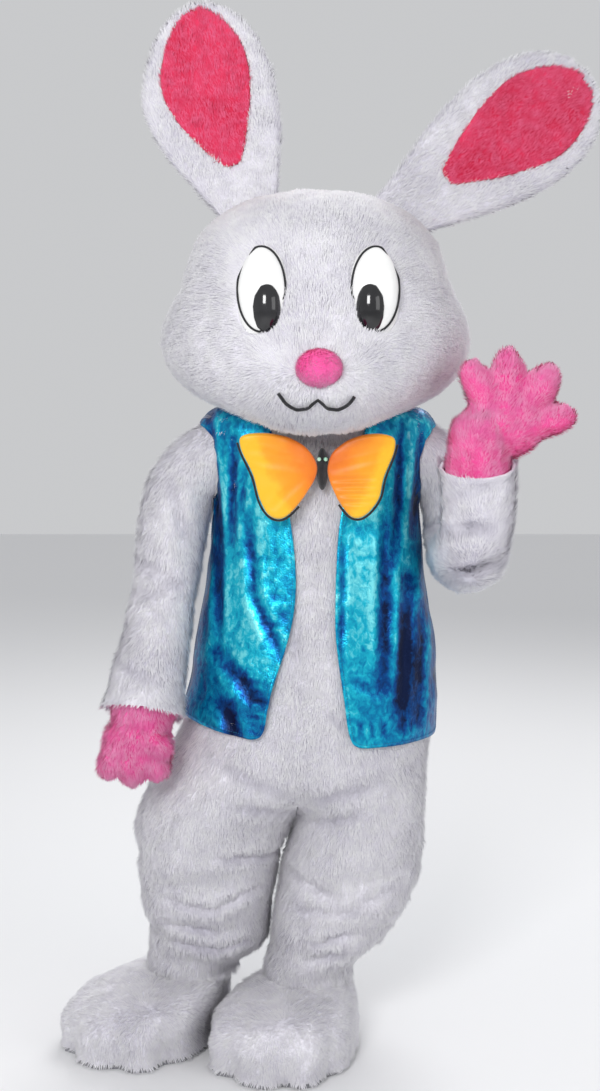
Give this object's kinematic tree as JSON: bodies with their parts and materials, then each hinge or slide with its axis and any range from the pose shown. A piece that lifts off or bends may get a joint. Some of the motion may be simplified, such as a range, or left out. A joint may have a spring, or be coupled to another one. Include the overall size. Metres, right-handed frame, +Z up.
{
  "type": "rabbit mascot costume",
  "caption": "Full-body plush rabbit mascot costume with a large foam head, upright ears, gloves, big feet, an open metallic waistcoat and a butterfly bow.",
  "frame": {"origin": "middle of the suit's neck opening, where the costume rests on its wearer's shoulders", "axes": "+Z up from the feet to the head, the face looks along -Y, +X to the side of the raised sleeve"},
  "size_m": [1.116, 0.5712, 2.1493],
  "materials": {
    "white_plush": "short dense plush pile",
    "pink_plush": "short dense plush pile",
    "rose_plush": "short dense plush pile",
    "turquoise_lame": "crinkled metallic foil cloth",
    "orange_satin": "satin",
    "black_felt": "matt felt",
    "eye_white": "smooth satin",
    "eye_black": "gloss",
    "white_webbing": "woven tape",
    "grey_sole": "matt rubber"
  },
  "bodies": {
    "root": {"suit_front_right": "white_plush", "suit_front_left": "white_plush", "suit_back_right": "white_plush", "suit_back_left": "white_plush", "back_placket": "white_webbing", "sleeve_left": "white_plush", "sleeve_right": "white_plush", "glove_left": "pink_plush", "glove_right": "pink_plush", "vest_front_right": "turquoise_lame", "vest_front_left": "turquoise_lame", "vest_back": "turquoise_lame", "head_face": "white_plush", "head_back": "white_plush", "ear_left": "white_plush", "ear_right": "white_plush", "ear_lining_left": "rose_plush", "ear_lining_right": "rose_plush", "eye_white_left": "eye_white", "eye_white_right": "eye_white", "pupil_left": "eye_black", "pupil_right": "eye_black", "nose": "pink_plush", "mouth": "black_felt", "bow_wing_left": "orange_satin", "bow_wing_right": "orange_satin", "bow_edge_left": "black_felt", "bow_edge_right": "black_felt", "bow_body": "black_felt", "foot_upper_left": "white_plush", "foot_upper_right": "white_plush", "foot_sole_left": "grey_sole", "foot_sole_right": "grey_sole"}
  },
  "joints": []
}
